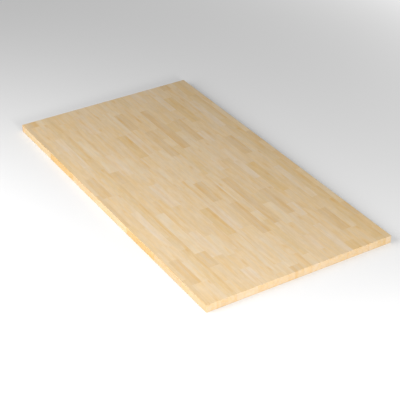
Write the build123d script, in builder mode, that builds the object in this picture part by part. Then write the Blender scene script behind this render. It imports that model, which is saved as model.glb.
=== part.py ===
from build123d import *
import os
from itertools import cycle
from math import ceil

# Butcher block island top: one flat panel of hardwood staves, glued edge to edge and end to end.
# The origin is under the middle of the panel, +X runs along the staves, +Z is up.

# Driving dimensions, in millimetres
panel_length = 1828.8  # 72 in
panel_width = 990.6  # 39 in
panel_thickness = 38.1  # 1.5 in
arris_radius = 1.6  # a square edge, eased all round so that it doesn't splinter
far_rip_width = 31  # what is left of the far row where the blank was ripped to width
narrowest_rip = 12  # the near row is never ripped thinner than this
shortest_stave = 25  # nothing shorter is laid at the end of a row
glue_line = 0.15  # film of glue between a stave and each of its neighbours

# The layout of the rows, from the far edge: the width of a row, and where its staves butt
# end to end, measured from the left end of the panel. Staves are sawn as wide as each
# board allows, so rows differ. The joints come round again after layout_repeat along a
# row, and the rows after the last one listed. The far row is what is left of that last one.
layout_repeat = 806.8
layout = [
    (48, [190, 502, 622]),
    (35, [65, 238, 566, 700]),
    (50, [61, 380, 670]),
    (52, [144, 448, 623]),
    (37, [93, 282, 403, 552, 674, 765]),
    (47, [51, 382, 626]),
    (50, [3, 133, 395, 494, 691]),
    (47, [203, 657]),
    (43, [126, 412, 524, 612]),
    (46, [98, 412, 700]),
    (51, [169, 358, 613]),
    (45, [121, 376, 615]),
    (51, [182, 384, 630]),
    (45, [240, 510, 740]),
    (53, [74, 296, 582, 764]),
    (53, [207, 517, 740]),
    (51, [109, 315, 677, 797]),
]

# The near row shows its whole side, and has joints of its own
near_repeat = 797
near_joints = [31, 340, 592]


def stave_ends(joints, repeat):
    """Every joint of one row and the two bare ends, from the left end of the panel."""
    laps = range(ceil(panel_length / repeat))
    places = [joint + repeat * lap for lap in laps for joint in joints]
    inner = [place for place in places if shortest_stave <= place <= panel_length - shortest_stave]
    return [-half_film, *inner, panel_length + half_film]


# A stave gives up half the film of glue at each glued face, and nothing at a bare one
half_film = glue_line / 2

# The edges and stave ends of each row, from the far edge of the panel to the near edge
rows = [(-half_film, far_rip_width, stave_ends(layout[-1][1], layout_repeat))]
for width, joints in cycle(layout):
    far_edge = rows[-1][1]
    if far_edge + width > panel_width - narrowest_rip:
        break
    rows.append((far_edge, far_edge + width, stave_ends(joints, layout_repeat)))
rows.append((far_edge, panel_width + half_film, stave_ends(near_joints, near_repeat)))

# The sanded outline of the whole panel, which eases the edges of the staves round its border
with BuildPart() as panel:
    Box(panel_length, panel_width, panel_thickness, align=(Align.CENTER, Align.CENTER, Align.MIN))
    fillet(panel.edges(), radius=arris_radius)

os.makedirs("parts", exist_ok=True)

for number, (far_edge, near_edge, ends) in enumerate(rows, start=1):
    row_middle = (panel_width - far_edge - near_edge) / 2
    with BuildPart() as stave_row:
        with BuildSketch():
            for left, right in zip(ends, ends[1:]):
                with Locations(((left + right - panel_length) / 2, row_middle)):
                    Rectangle(right - left - glue_line, near_edge - far_edge - glue_line)
        extrude(amount=panel_thickness)
        add(panel.part, mode=Mode.INTERSECT)

    name = f"stave_row_{number:02d}"
    stave_row.part.label = name
    export_step(stave_row.part, f"parts/{name}.step")
    print(name, len(stave_row.solids()), "staves")
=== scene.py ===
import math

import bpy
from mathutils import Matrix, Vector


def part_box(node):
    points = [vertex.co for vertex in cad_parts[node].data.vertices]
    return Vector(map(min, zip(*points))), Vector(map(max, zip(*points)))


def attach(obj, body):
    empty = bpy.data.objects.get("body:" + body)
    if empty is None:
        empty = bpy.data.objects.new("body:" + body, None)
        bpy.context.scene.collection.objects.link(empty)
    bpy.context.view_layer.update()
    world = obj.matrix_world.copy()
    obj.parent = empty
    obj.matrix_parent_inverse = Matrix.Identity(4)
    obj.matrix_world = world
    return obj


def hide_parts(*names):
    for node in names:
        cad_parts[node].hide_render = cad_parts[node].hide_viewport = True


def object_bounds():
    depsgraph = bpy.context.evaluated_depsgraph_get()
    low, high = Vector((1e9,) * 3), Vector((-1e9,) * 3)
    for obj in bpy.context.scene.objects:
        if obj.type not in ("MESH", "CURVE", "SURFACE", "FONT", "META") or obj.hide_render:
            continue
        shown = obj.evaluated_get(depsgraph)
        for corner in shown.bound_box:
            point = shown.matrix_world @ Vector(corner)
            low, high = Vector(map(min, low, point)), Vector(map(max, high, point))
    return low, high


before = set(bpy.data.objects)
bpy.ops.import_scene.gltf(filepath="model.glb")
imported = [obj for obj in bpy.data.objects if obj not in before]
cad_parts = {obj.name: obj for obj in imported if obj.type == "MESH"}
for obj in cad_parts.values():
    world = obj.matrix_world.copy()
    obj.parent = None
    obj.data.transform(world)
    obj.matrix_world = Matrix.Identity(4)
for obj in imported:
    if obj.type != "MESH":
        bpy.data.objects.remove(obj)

# %% [markdown]
# # A butcher block island top
# The panel is 72 x 39 in, 1.5 in thick, and nothing but birch staves glued edge to edge and end
# to end. The CAD frame that is now loaded holds the staves as plain solids, one node for each
# row. This file gives them what the eye takes for wood: staves sawn from different boards, growth
# rings that run through each stave and show again on its end, fibres, pores and stained streaks.
# A picture of wood could be wrapped round the panel, but its grain would break off at every
# corner. Here the pattern fills the wood, and each face shows the cut that it is.

MM = 0.001
cad_low, cad_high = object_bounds()
panel_size = cad_high - cad_low
print("panel, mm:", [round(side / MM, 1) for side in panel_size])

# %% [markdown]
# ## Camera
# The camera is set first, because every later choice is judged through it. The picture is taken
# with a long lens from the corner between the near long side and the right end, looking down at
# about a third of a right angle. A camera could be placed by hand, but nobody could read from the
# file where it stands. So its direction is kept as azimuth and elevation, as a photographer would
# note it, and the position follows from them and the distance.

# %% Camera
VIEW_AZIMUTH = math.radians(58.27)
VIEW_ELEVATION = math.radians(32.55)
VIEW_DISTANCE = 5.806
LENS_MM = 110.07
aim = Vector((0.2012, -0.0860, cad_high.z))

camera = bpy.data.objects.new("camera", bpy.data.cameras.new("camera"))
camera.data.lens = LENS_MM
camera.data.sensor_width = 36
to_camera = Vector((
    math.sin(VIEW_AZIMUTH) * math.cos(VIEW_ELEVATION),
    -math.cos(VIEW_AZIMUTH) * math.cos(VIEW_ELEVATION),
    math.sin(VIEW_ELEVATION),
))
camera.location = aim + to_camera * VIEW_DISTANCE
camera.rotation_euler = to_camera.to_track_quat("Z", "Y").to_euler()
bpy.context.collection.objects.link(camera)
bpy.context.scene.camera = camera
bpy.context.scene.view_settings.view_transform = "Standard"
print("camera at", [round(side, 2) for side in camera.location])

# %% [markdown]
# ## Two helpers
# Colours are written as the sRGB hex values that a paint chart would give, and one function turns
# them into the linear values that the renderer works in. Typed in as they are, they would come
# out too pale. The other function adds one node to a tree: its options are named settings, and
# its inputs are fed with values or with other nodes. There could be a function for each kind of
# node, but this one does for them all, and there is only one to learn.


# %% Helpers
def linear(hex_colour, alpha=1.0):
    """An sRGB hex colour as linear red, green, blue and alpha."""
    parts = [int(hex_colour[i:i + 2], 16) / 255 for i in (0, 2, 4)]
    return [((p + 0.055) / 1.055) ** 2.4 if p > 0.04045 else p / 12.92 for p in parts] + [alpha]


def put(tree, kind, feeds=None, **settings):
    """Add a node to a tree. A feed is a value, a socket, or a node that stands for its first output."""
    made = tree.nodes.new(kind)
    for name, value in settings.items():
        setattr(made, name, value)
    for key, value in (feeds or {}).items():
        if isinstance(value, bpy.types.Node):
            value = value.outputs[0]
        if isinstance(value, bpy.types.NodeSocket):
            tree.links.new(value, made.inputs[key])
        else:
            made.inputs[key].default_value = value
    return made


print("a middle grey, 808080, in linear values:", [round(part, 3) for part in linear("808080")])

# %% [markdown]
# ## Reading the staves from the frame
# Each CAD row is one mesh of loose triangles, and its staves lie end to end with a film of glue
# between them. The joints could be written down here once more, but then they would stay behind
# when the CAD changes. So a stave is found by running along the row: triangles whose stretches
# of X overlap belong to one stave. Hardened glue fills the gaps on the real panel, so here every
# stave and row is stretched over half the film, and meets its neighbours without a gap that
# would show as a black thread.


# %% Staves of a row
def stave_spans(node):
    """The left and right end of every stave of a row, in metres."""
    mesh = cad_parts[node].data
    stretches = [[mesh.vertices[v].co.x for v in face.vertices] for face in mesh.polygons]
    spans = []
    for left, right in sorted((min(xs), max(xs)) for xs in stretches):
        if spans and left <= spans[-1][1]:
            spans[-1][1] = max(right, spans[-1][1])
        else:
            spans.append([left, right])
    return spans


def meeting(spans):
    """The same spans, each stretched to meet the next in the middle of the film of glue."""
    joints = [(before[1] + after[0]) / 2 for before, after in zip(spans, spans[1:])]
    ends = [spans[0][0], *joints, spans[-1][1]]
    return list(zip(ends, ends[1:]))


row_names = sorted(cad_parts)
row_spans = {name: meeting(stave_spans(name)) for name in row_names}
near_to_far = [(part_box(name)[0].y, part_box(name)[1].y) for name in reversed(row_names)]
row_widths = dict(zip(reversed(row_names), meeting(near_to_far)))
print("rows:", len(row_names), "staves:", sum(len(spans) for spans in row_spans.values()))

# %% [markdown]
# ## Sorting the staves
# A panel maker sorts staves only roughly, so near-white sapwood lies beside tan and brown
# heartwood. Tones drawn at random would make some such panel, but not this one, so a list says
# what each stave looks like, row by row from the far edge: where it starts along the row in mm,
# its tone, along which part of it a dark streak runs, and a mark, such as a pin knot. A mark is
# given by its place along the row, its place across the stave, its length and its width, all in
# mm. The layout comes round again along a row and across the rows. The near row shows its long
# edges, and its staves have a second tone for them. End grain drinks in light in its own way, so
# the tones of the row ends are listed apart, from the far row on.

# %% Tones and marks
SAWN_TONES = {
    "white": "DBC6A6",
    "pale": "DBC5A1",
    "cream": "DAC29C",
    "straw": "DAC199",
    "tan": "D9C098",
    "honey": "D7BE94",
    "brown": "D4BA91",
    "amber": "D6BA8B",
    "edge_yellow": "D8BE92",
    "edge_orange": "D5B075",
    "edge_rose": "DAB98E",
}


def stave(start, tone, streak=None, mark=None, edge=None):
    """What one stave of the layout looks like. Its edge has the tone of its face if none is given."""
    return {"start": start, "tone": tone, "streak": streak, "mark": mark, "edge": edge or tone}


LAYOUT_REPEAT = 806.8
LAYOUT = [
    [stave(190, "honey", "far"), stave(502, "honey", "far"),
     stave(622, "honey", "far", (632, 10, 50, 14))],
    [stave(65, "cream", mark=(78, 10, 40, 12)), stave(238, "white"), stave(566, "cream"),
     stave(700, "pale")],
    [stave(61, "straw", mark=(205, 8, 70, 14)), stave(380, "straw"), stave(670, "brown", "far")],
    [stave(144, "amber", mark=(272, 17, 60, 20)), stave(448, "straw", mark=(588, -12, 70, 18)),
     stave(623, "cream")],
    [stave(93, "white"), stave(282, "cream", mark=(391, 0, 26, 30)), stave(403, "straw"),
     stave(552, "white"), stave(674, "cream"), stave(765, "white")],
    [stave(51, "tan"), stave(382, "brown", "far"), stave(626, "cream", mark=(683, 8, 50, 16))],
    [stave(3, "white"), stave(133, "tan"), stave(395, "honey"), stave(494, "pale"),
     stave(691, "pale", mark=(722, -14, 46, 14))],
    [stave(203, "brown", "near"), stave(657, "cream")],
    [stave(126, "pale", mark=(244, -6, 36, 16)), stave(412, "straw"), stave(524, "pale"),
     stave(612, "honey")],
    [stave(98, "straw", "far", (272, 17, 90, 18)), stave(412, "brown", "far"),
     stave(700, "cream", mark=(838, 3, 44, 16))],
    [stave(169, "brown", "near", (232, -16, 90, 16)), stave(358, "straw"), stave(613, "pale")],
    [stave(121, "pale", "middle"), stave(376, "white", "middle"), stave(615, "cream")],
    [stave(182, "straw"), stave(384, "amber", "far", (460, 16, 60, 20)),
     stave(630, "pale", "near", (945, -7, 50, 12))],
    [stave(240, "cream", mark=(272, -13, 36, 12)), stave(510, "cream", "far"), stave(740, "cream")],
    [stave(74, "white", "middle"), stave(296, "tan"), stave(582, "pale"),
     stave(764, "cream", mark=(842, 22, 60, 18))],
    [stave(207, "tan", "near"), stave(517, "white"), stave(740, "tan")],
    [stave(109, "tan"), stave(315, "pale"), stave(677, "brown"), stave(797, "tan")],
]
NEAR_REPEAT = 797
NEAR_ROW = [stave(31, "brown", edge="edge_yellow"), stave(340, "honey", edge="edge_orange"),
            stave(592, "straw", edge="edge_rose")]
ROW_ENDS = ["white", "honey", "pale", "white", "cream", "tan", "honey", "tan", "cream", "pale", "pale",
            "honey", "straw", "cream", "straw", "straw", "white", "white", "tan", "brown", "straw", "tan"]


def look_of(row, spot):
    """The look of the stave that lies at a spot of a row, and how far its lap has moved along, in mm."""
    if row == len(row_names) - 1:
        looks, repeat = NEAR_ROW, NEAR_REPEAT
    else:
        looks, repeat = LAYOUT[(row - 1) % len(LAYOUT)], LAYOUT_REPEAT
    lap = spot // repeat
    begun = [look for look in looks if look["start"] <= spot - lap * repeat]
    return (begun[-1], lap * repeat) if begun else (looks[-1], (lap - 1) * repeat)


print("tones:", len(SAWN_TONES), "staves in the layout:", sum(len(row) for row in LAYOUT))

# %% [markdown]
# ## Sawing the staves
# Staves repeat all over the panel, but no two are alike. They could be made one object at a
# time, but a Geometry Nodes tree makes the staves of a whole row at once, and the same tree does
# for every row. It is given a point in the middle of each stave, with the stave's size as an
# attribute. It starts with its inputs, which are named as a sawyer would name them, and with two
# helpers: one draws a number for each stave, and one keeps a value for the wood's material.

# %% Stave tree
sawing = bpy.data.node_groups.new("saw the staves of a row", "GeometryNodeTree")
sawing.interface.new_socket("Points", in_out="INPUT", socket_type="NodeSocketGeometry")
for name, kind in (
    ("Panel Size", "NodeSocketVector"),
    ("Nearest Pith", "NodeSocketFloat"),
    ("Farthest Pith", "NodeSocketFloat"),
    ("Steepest Lean", "NodeSocketFloat"),
    ("Seed", "NodeSocketInt"),
    ("Wood", "NodeSocketMaterial"),
):
    sawing.interface.new_socket(name, in_out="INPUT", socket_type=kind)
sawing.interface.new_socket("Staves", in_out="OUTPUT", socket_type="NodeSocketGeometry")

given = put(sawing, "NodeGroupInput")
which = put(sawing, "GeometryNodeInputIndex")


def drawn(low, high, offset):
    """A number drawn for each stave between two limits. The offset keeps the draws apart."""
    seed = put(sawing, "FunctionNodeIntegerMath", {0: given.outputs["Seed"], 1: offset}, operation="ADD")
    draw = put(sawing, "FunctionNodeRandomValue", {"ID": which, "Seed": seed}, data_type="FLOAT")
    for socket, value in ((draw.inputs[2], low), (draw.inputs[3], high)):
        if isinstance(value, bpy.types.NodeSocket):
            sawing.links.new(value, socket)
        else:
            socket.default_value = value
    return draw.outputs[1]


def kept(geometry, name, value, kind="FLOAT_VECTOR", domain="POINT"):
    """Keep a value on the geometry under a name that the wood's material reads."""
    node = put(sawing, "GeometryNodeStoreNamedAttribute", {"Geometry": geometry, "Name": name},
               data_type=kind, domain=domain)
    sawing.links.new(value, node.inputs["Value"])
    return node.outputs[0]


sockets = {item.name: item.identifier for item in sawing.interface.items_tree if item.in_out == "INPUT"}
print("inputs of the stave tree:", list(sockets))

# %% [markdown]
# ## How each stave was sawn
# A stave is a stick out of a round tree. How its rings lie follows from where the pith of that
# tree was: how far away, in which direction, and how much the stave leans out of the grain. The
# face, the side and the end could each have rings of their own, but they wouldn't meet at the
# corners. So the pith is drawn once for each stave, from a fixed seed, and drives all of them.

# %% Pith of each stave
NEAREST_PITH = 30.0
FARTHEST_PITH = 150.0
STEEPEST_LEAN = 0.022
SAWING_SEED = 7

pith_distance = drawn(given.outputs["Nearest Pith"], given.outputs["Farthest Pith"], 1)
pith_angle = drawn(0.0, 2 * math.pi, 2)
lean_limit = given.outputs["Steepest Lean"]
lean_down = put(sawing, "ShaderNodeMath", {0: lean_limit, 1: -1.0}, operation="MULTIPLY")
lean = drawn(lean_down.outputs[0], lean_limit, 3)
sine = put(sawing, "ShaderNodeMath", {0: pith_angle}, operation="SINE")
cosine = put(sawing, "ShaderNodeMath", {0: pith_angle}, operation="COSINE")
pith_y = put(sawing, "ShaderNodeMath", {0: pith_distance, 1: sine}, operation="MULTIPLY")
pith_z = put(sawing, "ShaderNodeMath", {0: pith_distance, 1: cosine}, operation="MULTIPLY")
pith = put(sawing, "ShaderNodeCombineXYZ", {0: lean, 1: pith_y, 2: pith_z})
print("pith between", NEAREST_PITH, "and", FARTHEST_PITH, "mm away")

# %% [markdown]
# ## A block for each stave
# A planed stave is a plain block, and it gets its size from its point. Each block could be a mesh
# of its own, but one cube that is put on every point and scaled there is enough. The points hand
# on what they know to their blocks, and Realize Instances makes true geometry of the blocks.

# %% Blocks
place = put(sawing, "GeometryNodeInputPosition")
points = kept(given.outputs["Points"], "stave_mid", place.outputs[0])
points = kept(points, "pith", pith.outputs[0])
points = kept(points, "lot", drawn(0.0, 100.0, 4), kind="FLOAT")

size = put(sawing, "GeometryNodeInputNamedAttribute", {"Name": "stave_size"}, data_type="FLOAT_VECTOR")
block = put(sawing, "GeometryNodeMeshCube")
laid = put(sawing, "GeometryNodeInstanceOnPoints", {"Points": points, "Instance": block, "Scale": size})
solid = put(sawing, "GeometryNodeRealizeInstances", {"Geometry": laid})
print("block tree:", len(sawing.nodes), "nodes so far")

# %% [markdown]
# ## Only the border was eased
# A cutter eased the border of the finished panel, and the joints between its staves were sanded
# flush. Rounding every stave would leave grooves at the joints, so the tree finds the edges to
# round: those whose middle lies on two outer faces of the panel. It marks them with the weight
# that a Bevel modifier reads.

# %% Bare edges
TOUCHING_MM = 0.01

half_panel = put(sawing, "ShaderNodeVectorMath", {0: given.outputs["Panel Size"], 1: (0.5, 0.5, 0.5)},
                 operation="MULTIPLY")
up_only = put(sawing, "ShaderNodeVectorMath", {0: half_panel, 1: (0, 0, 1)}, operation="MULTIPLY")
from_middle = put(sawing, "ShaderNodeVectorMath", {0: place, 1: up_only}, operation="SUBTRACT")
reach = put(sawing, "ShaderNodeVectorMath", {0: from_middle}, operation="ABSOLUTE")
past = put(sawing, "ShaderNodeVectorMath", {0: reach, 1: half_panel}, operation="SUBTRACT")
faces = put(sawing, "ShaderNodeSeparateXYZ", {0: past})
on_face = [put(sawing, "ShaderNodeMath", {0: part, 1: -TOUCHING_MM * MM}, operation="GREATER_THAN")
           for part in faces.outputs]
two = put(sawing, "ShaderNodeMath", {0: on_face[0], 1: on_face[1]}, operation="ADD")
three = put(sawing, "ShaderNodeMath", {0: two, 1: on_face[2]}, operation="ADD")
bare = put(sawing, "ShaderNodeMath", {0: three, 1: 1.5}, operation="GREATER_THAN")
eased = kept(solid.outputs[0], "bevel_weight_edge", bare.outputs[0], kind="FLOAT", domain="EDGE")

# Every other edge stays sharp, so the faces of a stave are shaded flat
joint = put(sawing, "FunctionNodeBooleanMath", {0: bare}, operation="NOT")
sharp = put(sawing, "GeometryNodeSetShadeSmooth",
            {"Geometry": eased, "Selection": joint, "Shade Smooth": False}, domain="EDGE")
finished = put(sawing, "GeometryNodeSetMaterial", {"Geometry": sharp, "Material": given.outputs["Wood"]})
put(sawing, "NodeGroupOutput", {0: finished})
print("stave tree:", len(sawing.nodes), "nodes")

# %% [markdown]
# ## Birch, planed and sanded, unsealed
# Birch is a pale wood of fine, even texture. Its rings show as soft thin lines a few millimetres
# apart, its pores as tiny flecks, and planing and sanding leave a dull surface with almost no
# gloss. A flat pattern could be unwrapped over each face, but every face would show the same cut
# of the tree. So the whole pattern is worked out in three dimensions, in millimetres from the
# middle of each stave: a line on the face runs on down the side and turns into an arc on the end.

# %% Places inside a stave
birch = bpy.data.materials.new("birch_planed_and_sanded")
birch.use_nodes = True
wood = birch.node_tree
wood.nodes.clear()


def read(name, kind="Vector"):
    """What the stave tree kept on the staves under a name."""
    return put(wood, "ShaderNodeAttribute", attribute_name=name, attribute_type="GEOMETRY").outputs[kind]


def split(vector):
    """The three parts of a vector."""
    return put(wood, "ShaderNodeSeparateXYZ", {0: vector}).outputs


def calc(operation, a, b=0.0):
    """Plain arithmetic on one or two values."""
    return put(wood, "ShaderNodeMath", {0: a, 1: b}, operation=operation).outputs[0]


here = put(wood, "ShaderNodeTexCoord").outputs["Object"]
off_middle = put(wood, "ShaderNodeVectorMath", {0: here, 1: read("stave_mid")}, operation="SUBTRACT")
local = put(wood, "ShaderNodeVectorMath", {0: off_middle, 3: 1 / MM}, operation="SCALE").outputs[0]
along, across, deep = split(local)
lot = read("lot", "Fac")
print("birch:", len(wood.nodes), "nodes to find a place inside its stave")

# %% [markdown]
# ## Noise along the grain
# Nearly everything in wood is long and thin. A wave texture makes long lines too, but they are all
# as wide as each other, while noise is as uneven as wood. So one helper draws noise out along the
# stave. Its sizes are the real ones in mm, and a number of its own keeps each stave's noise apart
# from the next. A second helper turns a stretch of a noise into a clean mask.


# %% Noise helpers
def grained(long_mm, wide_mm, detail=2.0, roughness=0.5):
    """Noise that is long_mm long along the stave and wide_mm wide, different in each stave."""
    stretch = (1 / long_mm, 1 / wide_mm, 1 / wide_mm)
    drawn_out = put(wood, "ShaderNodeVectorMath", {0: local, 1: stretch}, operation="MULTIPLY")
    return put(wood, "ShaderNodeTexNoise",
               {"Vector": drawn_out, "W": lot, "Scale": 1.0, "Detail": detail, "Roughness": roughness},
               noise_dimensions="4D").outputs[0]


def spread(value, low, high, to_low=0.0, to_high=1.0):
    """Stretch the part of a value between low and high over another range, with soft ends."""
    return put(wood, "ShaderNodeMapRange", {0: value, 1: low, 2: high, 3: to_low, 4: to_high},
               interpolation_type="SMOOTHSTEP").outputs[0]


# %% [markdown]
# ## Pin knots
# A small knot is what a thin branch left: an oval of denser, more orange wood with a ragged edge.
# Knots could be strewn at random, but the eye goes straight to them, so each has its place in the
# list above. They come before the rings, because a branch pushes the rings around it aside.

# %% Pin knots
knot_x, knot_y, knot_here = split(read("mark_place"))
knot_long, knot_wide, _ = split(read("mark_size"))
out_x = calc("DIVIDE", calc("SUBTRACT", along, knot_x), knot_long)
out_y = calc("DIVIDE", calc("SUBTRACT", across, knot_y), knot_wide)
out = calc("SQRT", calc("ADD", calc("MULTIPLY", out_x, out_x), calc("MULTIPLY", out_y, out_y)))
ragged = calc("ADD", out, grained(20, 7, detail=3.0))
knot = calc("MULTIPLY", spread(ragged, 1.9, 0.4), knot_here)
print("marks in the layout:", sum(look["mark"] is not None for row in LAYOUT for look in row))

# %% [markdown]
# ## Growth rings
# The ring that a place belongs to follows from its distance to the pith. A wave texture could draw
# neat circles, but the rings of a tree are neither round nor even. The pith lies outside the stave
# and leans a little, and no tree grows quite straight, so the distance wanders slowly. Rings are
# wide in good years and narrow in bad ones, so their count runs ahead and falls back. Each ring
# ends in a thin darker line of late wood, and broad soft bands of colour follow the rings too,
# which gives the flame figure.

# %% Rings
RING_MM = 3.8
FIGURE_MM = 10.0
WANDER_MM = 12.0
KNOT_PUSH_MM = 3.0
YEARS_MM = 11.0
YEARS_RINGS = 5.0

lean, pith_y, pith_z = split(read("pith"))
wander = calc("MULTIPLY", calc("SUBTRACT", grained(240, 55), 0.5), WANDER_MM)
leaned = calc("ADD", pith_y, calc("MULTIPLY", along, lean))
from_y = calc("ADD", calc("SUBTRACT", across, leaned), wander)
from_z = calc("SUBTRACT", calc("SUBTRACT", deep, pith_z), calc("MULTIPLY", knot, KNOT_PUSH_MM))
radius = calc("SQRT", calc("ADD", calc("MULTIPLY", from_y, from_y), calc("MULTIPLY", from_z, from_z)))


def by_ring(width_mm, detail):
    """Noise that changes only from ring to ring."""
    place = put(wood, "ShaderNodeCombineXYZ", {0: calc("DIVIDE", radius, width_mm), 1: lot})
    return put(wood, "ShaderNodeTexNoise", {"Vector": place, "Scale": 1.0, "Detail": detail},
               noise_dimensions="2D").outputs[0]


uneven = calc("MULTIPLY", by_ring(YEARS_MM, 1.0), YEARS_RINGS)
ring_count = calc("ADD", calc("DIVIDE", radius, RING_MM), uneven)
late_wood = spread(calc("FRACT", ring_count), 0.4, 1.0)
figure = by_ring(FIGURE_MM, 2.0)
print("rings", RING_MM, "mm apart:", round(panel_size.z / MM / RING_MM), "in the thickness of the panel")

# %% [markdown]
# ## Fibres, pores and stains
# Fibres run the whole length of a stave as hair-thin lines. Pores are cut open by the plane and
# show as short flecks. Both are drawn coarser than they are, or only a magnifier would show them.
# Stains are long faint patches where the living tree stored sap or minerals: some are paler or
# richer than the wood around them, others cooler or warmer. And where the fibres wave a little,
# short ripples of light and shade lie across the grain. One noise with much detail could stand
# for all of these, but each has its own length and width, so each has its own noise.

# %% Fibres, pores and stains
fibre = grained(75, 1.1, detail=4.0, roughness=0.6)
pore = spread(grained(8, 0.5, detail=1.0), 0.62, 0.72)
streaky = grained(160, 7, detail=3.0, roughness=0.6)
amber_stain = spread(grained(110, 14, detail=3.0, roughness=0.6), 0.53, 0.75)
sap = grained(110, 18)
glow = grained(80, 13)
ripple = grained(26, 14, detail=1.0)
print("noises in the birch so far:", sum(node.type == "TEX_NOISE" for node in wood.nodes))

# %% [markdown]
# ## Dark streaks
# In some staves a darker streak of heartwood follows one edge, or runs along the middle. It has
# soft sides and is broken along its length. A stain might fall there by chance, but only a band of
# its own can be put in the right staves, and it wanders with their rings as a real one does.

# %% Dark streaks
streak_y, streak_wide, streak_here = split(read("streak"))
off_straight = calc("SUBTRACT", across, streak_y)
off_streak = calc("ABSOLUTE", calc("ADD", off_straight, calc("MULTIPLY", wander, 0.4)))
beside = spread(calc("DIVIDE", off_streak, streak_wide), 1.6, 0.3)
broken = spread(grained(110, 8), 0.35, 0.65, 0.2, 1.0)
streak = calc("MULTIPLY", calc("MULTIPLY", beside, broken), streak_here)
print("streaks in the layout:", sum(look["streak"] is not None for row in LAYOUT for look in row))

# %% [markdown]
# ## Glue lines, edges and end grain
# Two staves meet in a glue line. The joint was sanded flush, so a groove in the mesh would be
# wrong, and the line is drawn as a hair of darker wood on the face. It isn't drawn on the glued
# surface itself, which is why the direction of the face counts. Good joints are tight: a step in
# tone shows where staves meet, and the line itself only from close by. The direction of the face
# also tells the long edges from the ends, where the fibres are cut across, and finds the eased
# edges along the grain, which are given a more golden tone as painted shade.

# %% Glue lines, edges and end grain
GLUE_MM = 0.2
BORDER_MM = 3.0

facing = put(wood, "ShaderNodeNewGeometry").outputs["True Normal"]
facing_x, facing_y, facing_z = [calc("ABSOLUTE", part) for part in split(facing)]
stave_long, stave_wide, _ = split(read("stave_size"))


def glued(place, length, facing_part, in_panel, panel_length):
    """How close a place is to the glued end or edge of its stave. The panel's own border is bare."""
    left_over = calc("SUBTRACT", calc("MULTIPLY", length, 0.5 / MM), calc("ABSOLUTE", place))
    inside = calc("LESS_THAN", calc("ABSOLUTE", in_panel), panel_length / 2 - BORDER_MM * MM)
    other_face = calc("LESS_THAN", facing_part, 0.5)
    return calc("MULTIPLY", spread(left_over, GLUE_MM, 0.0), calc("MULTIPLY", inside, other_face))


panel_x, panel_y, _ = split(here)
glue_line = calc("MAXIMUM", glued(along, stave_long, facing_x, panel_x, panel_size.x),
                 glued(across, stave_wide, facing_y, panel_y, panel_size.y))
end_grain = calc("GREATER_THAN", facing_x, 0.7)
long_edge = calc("GREATER_THAN", facing_y, 0.7)
# Painted shade: the eased edges between the top and the long sides get a deeper golden tone
painted_arris_shade = spread(calc("MULTIPLY", facing_y, facing_z), 0.1, 0.3)
print("a glue line is", 2 * GLUE_MM, "mm wide on its two staves together")

# %% [markdown]
# ## Colour
# One colour ramp could turn a noise into all the browns of the wood, but then no cause of colour
# could be changed without the others. So the colour is built as a stain would be, in layers over
# the tone of the stave. Three tints come first, from pale to rich, from cool to warm, and from
# dull to bright in the ripples. A fourth is painted light: it makes the far right part of the
# panel a little more yellow, where the light falls warmer. Then amber lies in the stains, bands,
# streaks and knots, and as painted shade on the eased edges. Last come the thin brown lines: late
# wood, fibres, pores and glue.

# %% Colour
PALE_TINT = (1.01, 1.033, 1.088, 1.0)
RICH_TINT = (0.99, 0.967, 0.912, 1.0)
COOL_TINT = (0.969, 0.981, 1.012, 1.0)
WARM_TINT = (1.031, 1.019, 0.988, 1.0)
DULL_TINT = (0.986, 0.986, 0.974, 1.0)
BRIGHT_TINT = (1.014, 1.014, 1.026, 1.0)
# Painted light: the first of these two tints is for the panel where the light falls evenly, the second is
# painted warm light on its far right part
EVEN_LIGHT_TINT = (1.006, 1.0, 1.01, 1.0)
PAINTED_WARM_LIGHT_TINT = (1.006, 0.974, 0.912, 1.0)
AMBER = linear("CF9F52")
LINE_BROWN = linear("A67C4A")
END_TONE = linear("CAAC8A")


def weighed(*layers):
    """The sum of some masks, each with its weight."""
    total = 0.0
    for mask, weight in layers:
        total = calc("ADD", calc("MULTIPLY", mask, weight), total)
    return total


def layer(mask, under, over, blend="MIX"):
    """One colour laid over another where the mask says."""
    mixed = put(wood, "ShaderNodeMix", {0: mask, 6: under, 7: over}, data_type="RGBA", blend_type=blend)
    return mixed.outputs[2]


def tinted(colour, mask, *tints):
    """A colour multiplied by a tint that goes from the first to the second of a pair, as the mask says."""
    return layer(1.0, colour, layer(mask, *tints), blend="MULTIPLY")


tone = layer(long_edge, read("wood_tone", "Color"), read("edge_tone", "Color"))
tone = layer(end_grain, tone, layer(0.2, read("end_tone", "Color"), END_TONE))
tone = tinted(tone, spread(sap, 0.35, 0.65), PALE_TINT, RICH_TINT)
tone = tinted(tone, spread(glow, 0.35, 0.65), COOL_TINT, WARM_TINT)
tone = tinted(tone, spread(ripple, 0.3, 0.7), DULL_TINT, BRIGHT_TINT)
# Painted light: the far right part of the panel is tinted yellower, where the light falls warmer
painted_warm_light = calc("MULTIPLY", spread(panel_y, 0.2, 0.48), spread(panel_x, -0.3, 0.6))
tone = tinted(tone, painted_warm_light, EVEN_LIGHT_TINT, PAINTED_WARM_LIGHT_TINT)
# The amber on the eased edges is painted shade
amber = weighed((spread(figure, 0.5, 0.8), 0.16), (amber_stain, 0.16), (spread(streaky, 0.5, 0.75), 0.10),
                (streak, 0.26), (knot, 0.35), (end_grain, 0.03), (painted_arris_shade, 0.3))
lines = weighed((late_wood, 0.06), (spread(fibre, 0.45, 0.75), 0.07), (pore, 0.09), (glue_line, 0.2))
coloured = layer(lines, layer(amber, tone, AMBER), LINE_BROWN)
print("birch:", len(wood.nodes), "nodes up to its colour")

# %% [markdown]
# ## Surface
# Sanding leaves the fibres standing a few hundredths of a millimetre proud, and the surface
# scatters nearly all light evenly. As a mesh, relief this fine would take millions of faces, and
# a bump does as well. The end grain is the roughest part.

# %% Surface
PROUD_MM = 0.06
FACE_ROUGHNESS = 0.58
END_ROUGHNESS = 0.75
BIRCH_IOR = 1.48

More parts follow.
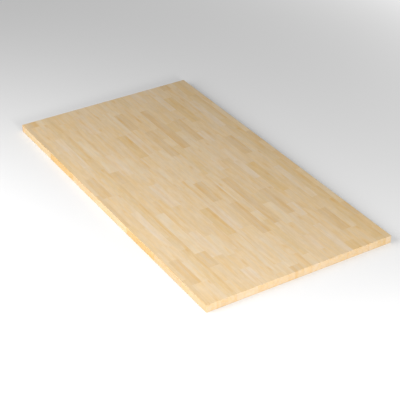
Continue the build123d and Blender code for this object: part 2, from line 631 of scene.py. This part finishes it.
relief = calc("SUBTRACT", calc("MULTIPLY", fibre, 0.6), calc("MULTIPLY", pore, 0.5))
bump = put(wood, "ShaderNodeBump", {"Height": relief, "Distance": PROUD_MM * MM, "Strength": 0.6})
torn = calc("ADD", fibre, calc("MULTIPLY", end_grain, 0.5))
rough = spread(torn, 0.2, 1.2, FACE_ROUGHNESS, END_ROUGHNESS)
shader = put(wood, "ShaderNodeBsdfPrincipled",
             {"Base Color": coloured, "Roughness": rough, "IOR": BIRCH_IOR, "Normal": bump})
put(wood, "ShaderNodeOutputMaterial", {0: shader})
print("birch:", len(wood.nodes), "nodes")

# %% [markdown]
# ## Laying the rows
# A maker lays the sorted staves out in rows before gluing. Here a row is a mesh of bare points,
# one in the middle of each stave. Each stave could have a material of its own, but 193 materials
# would be hard to keep alike. So what the list says of a stave is turned into attributes of its
# point, in mm from the stave's own middle, and one material reads them all.

# %% Points of a row
STREAK_PLACES = {"far": 0.32, "middle": -0.08, "near": -0.32}
STREAK_SHARE = 0.17


def points_of(row, name):
    """A mesh with a point for each stave of a row, which carries the stave's size and look."""
    near, far = row_widths[name]
    width, spans = far - near, row_spans[name]
    held = {key: [] for key in ("stave_size", "wood_tone", "edge_tone", "end_tone",
                                "mark_place", "mark_size", "streak")}
    for left, right in spans:
        middle_mm = ((left + right) / 2 - cad_low.x) / MM
        look, moved_mm = look_of(row, middle_mm)
        mark_x, mark_y, mark_long, mark_wide = look["mark"] or (0, 0, 2, 2)
        held["stave_size"] += [right - left, width, panel_size.z]
        held["wood_tone"] += linear(SAWN_TONES[look["tone"]])
        held["edge_tone"] += linear(SAWN_TONES[look["edge"]])
        held["end_tone"] += linear(SAWN_TONES[ROW_ENDS[row]])
        held["mark_place"] += [mark_x + moved_mm - middle_mm, mark_y, float(look["mark"] is not None)]
        held["mark_size"] += [mark_long / 2, mark_wide / 2, 0]
        held["streak"] += [STREAK_PLACES.get(look["streak"], 0) * width / MM,
                           STREAK_SHARE * width / MM, float(look["streak"] is not None)]
    middles = [((left + right) / 2, (near + far) / 2, panel_size.z / 2) for left, right in spans]
    mesh = bpy.data.meshes.new(name + "_points")
    mesh.from_pydata(middles, [], [])
    for key, numbers in held.items():
        is_colour = key.endswith("_tone")
        made = mesh.attributes.new(key, "FLOAT_COLOR" if is_colour else "FLOAT_VECTOR", "POINT")
        made.data.foreach_set("color" if is_colour else "vector", numbers)
    return mesh


# %% [markdown]
# ## Sawing every row
# The tree saws the staves of a row, and a Bevel modifier rounds the marked edges by the eased
# radius. The tree could start from rounded blocks, but scaling a block to its stave would stretch
# its rounding, and a bevel comes after the scaling. The result is taken as a plain mesh, which
# stands in for the CAD row at the same place.

# %% Rows
ARRIS_MM = 1.6

made_rows = []
for row, name in enumerate(row_names):
    blank = bpy.data.objects.new(name + "_blank", points_of(row, name))
    bpy.context.collection.objects.link(blank)
    saw = blank.modifiers.new("saw", "NODES")
    saw.node_group = sawing
    for key, value in (
        ("Panel Size", panel_size),
        ("Nearest Pith", NEAREST_PITH),
        ("Farthest Pith", FARTHEST_PITH),
        ("Steepest Lean", STEEPEST_LEAN),
        ("Seed", SAWING_SEED * 1000 + row * 10),
        ("Wood", birch),
    ):
        saw[sockets[key]] = value
    ease = blank.modifiers.new("ease", "BEVEL")
    ease.limit_method = "WEIGHT"
    ease.width = ARRIS_MM * MM
    ease.segments = 4
    ease.harden_normals = True
    sawn = blank.evaluated_get(bpy.context.evaluated_depsgraph_get())
    piece = bpy.data.objects.new(name + "_birch", bpy.data.meshes.new_from_object(sawn))
    bpy.data.objects.remove(blank)
    bpy.context.collection.objects.link(piece)
    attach(piece, "root")
    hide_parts(name)
    made_rows.append(piece)
print("rows laid:", len(made_rows), "faces:", sum(len(piece.data.polygons) for piece in made_rows))

# %% [markdown]
# ## Floor
# The panel lies on a plain sheet of matt white paper that runs out of the picture on every side.
# A shadow catcher could stand in for it, but it would throw no light back on the wood. The paper
# is truly shaded, so it keeps the panel's shadow, and near the lit sides it catches the warm
# light that they throw on it. As in a catalogue picture, the paper is a little brighter to the
# camera than it is as a source of light, and more so away from the lamps. That added light is
# seen by the camera alone, so it never reaches the wood. Outside the picture it rises to an even
# pale ground, for a look at the panel from any other side.

# %% Floor
FLOOR_HALF = 15.0
LIFT = 0.104
RISE = 0.038
RISE_MIDDLE = (-0.78, -2.33, 0.0)
RISE_DISTANCE = 3.0
RISE_LENGTH = 0.70
GROUND_LIFT = 0.6
GROUND_NEAREST = 2.8
GROUND_FULL = 4.2

floor_mesh = bpy.data.meshes.new("floor")
floor_mesh.from_pydata([(-FLOOR_HALF, -FLOOR_HALF, 0), (FLOOR_HALF, -FLOOR_HALF, 0),
                        (FLOOR_HALF, FLOOR_HALF, 0), (-FLOOR_HALF, FLOOR_HALF, 0)], [], [(0, 1, 2, 3)])
floor = bpy.data.objects.new("floor", floor_mesh)
bpy.context.collection.objects.link(floor)

paper = bpy.data.materials.new("matt_white_paper")
paper.use_nodes = True
sheet = paper.node_tree
sheet.nodes.clear()
spot = put(sheet, "ShaderNodeTexCoord").outputs["Object"]
away = put(sheet, "ShaderNodeVectorMath", {0: spot, 1: RISE_MIDDLE}, operation="DISTANCE").outputs["Value"]
beyond = put(sheet, "ShaderNodeMath", {0: away, 1: RISE_DISTANCE}, operation="SUBTRACT")
steps = put(sheet, "ShaderNodeMath", {0: beyond, 1: RISE_LENGTH}, operation="DIVIDE")
growth = put(sheet, "ShaderNodeMath", {0: steps}, operation="EXPONENT")
rise = put(sheet, "ShaderNodeMath", {0: growth, 1: RISE}, operation="MULTIPLY")
capped = put(sheet, "ShaderNodeMath", {0: rise, 1: GROUND_LIFT}, operation="MINIMUM")
from_panel = put(sheet, "ShaderNodeVectorMath", {0: spot}, operation="LENGTH").outputs["Value"]
ground = put(sheet, "ShaderNodeMapRange",
             {0: from_panel, 1: GROUND_NEAREST, 2: GROUND_FULL, 4: GROUND_LIFT},
             interpolation_type="SMOOTHSTEP")
higher = put(sheet, "ShaderNodeMath", {0: capped, 1: ground}, operation="MAXIMUM")
lift = put(sheet, "ShaderNodeMath", {0: higher, 1: LIFT}, operation="ADD")
by_camera = put(sheet, "ShaderNodeLightPath").outputs["Is Camera Ray"]
seen = put(sheet, "ShaderNodeMath", {0: lift, 1: by_camera}, operation="MULTIPLY")
added = put(sheet, "ShaderNodeEmission", {"Color": linear("FFFFFF"), "Strength": seen})
matt = put(sheet, "ShaderNodeBsdfDiffuse", {"Color": linear("D8D8D8")})
both = put(sheet, "ShaderNodeAddShader", {0: matt, 1: added})
put(sheet, "ShaderNodeOutputMaterial", {0: both})
floor_mesh.materials.append(paper)
print("floor:", 2 * FLOOR_HALF, "m square")

# %% [markdown]
# ## Light
# Two soft boxes stand low in front of the near side and to the right of the panel, and both fade
# with distance. So the sides that face the camera are brighter than the top, and the far left
# corner is the dullest. A sun would be simpler, but it lights near and far alike and draws hard
# shadows. A weak even sky fills the shadows. The camera alone sees it paler, like the ground
# below it.

# %% Light
SKY_LEVEL = 0.295
SKY_SEEN = 0.9
LAMPS = [("front", (0.0, -2.55, 1.55), 2.6, 97), ("right", (3.25, -0.45, 1.2), 0.8, 73)]

world = bpy.data.worlds.new("sky")
bpy.context.scene.world = world
world.use_nodes = True
air = world.node_tree
air.nodes.clear()
sky_by_camera = put(air, "ShaderNodeLightPath").outputs["Is Camera Ray"]
sky_level = put(air, "ShaderNodeMapRange", {0: sky_by_camera, 3: SKY_LEVEL, 4: SKY_SEEN})
sky = put(air, "ShaderNodeBackground", {"Color": linear("FFFFFF"), "Strength": sky_level})
put(air, "ShaderNodeOutputWorld", {0: sky})

for name, stand, breadth, power in LAMPS:
    lamp = bpy.data.objects.new(name + "_soft_box", bpy.data.lights.new(name + "_soft_box", "AREA"))
    lamp.data.shape = "DISK"
    lamp.data.size = breadth
    lamp.data.energy = power
    lamp.location = stand
    lamp.rotation_euler = Vector(stand).to_track_quat("Z", "Y").to_euler()
    bpy.context.collection.objects.link(lamp)
print("soft boxes:", [name for name, *_ in LAMPS])
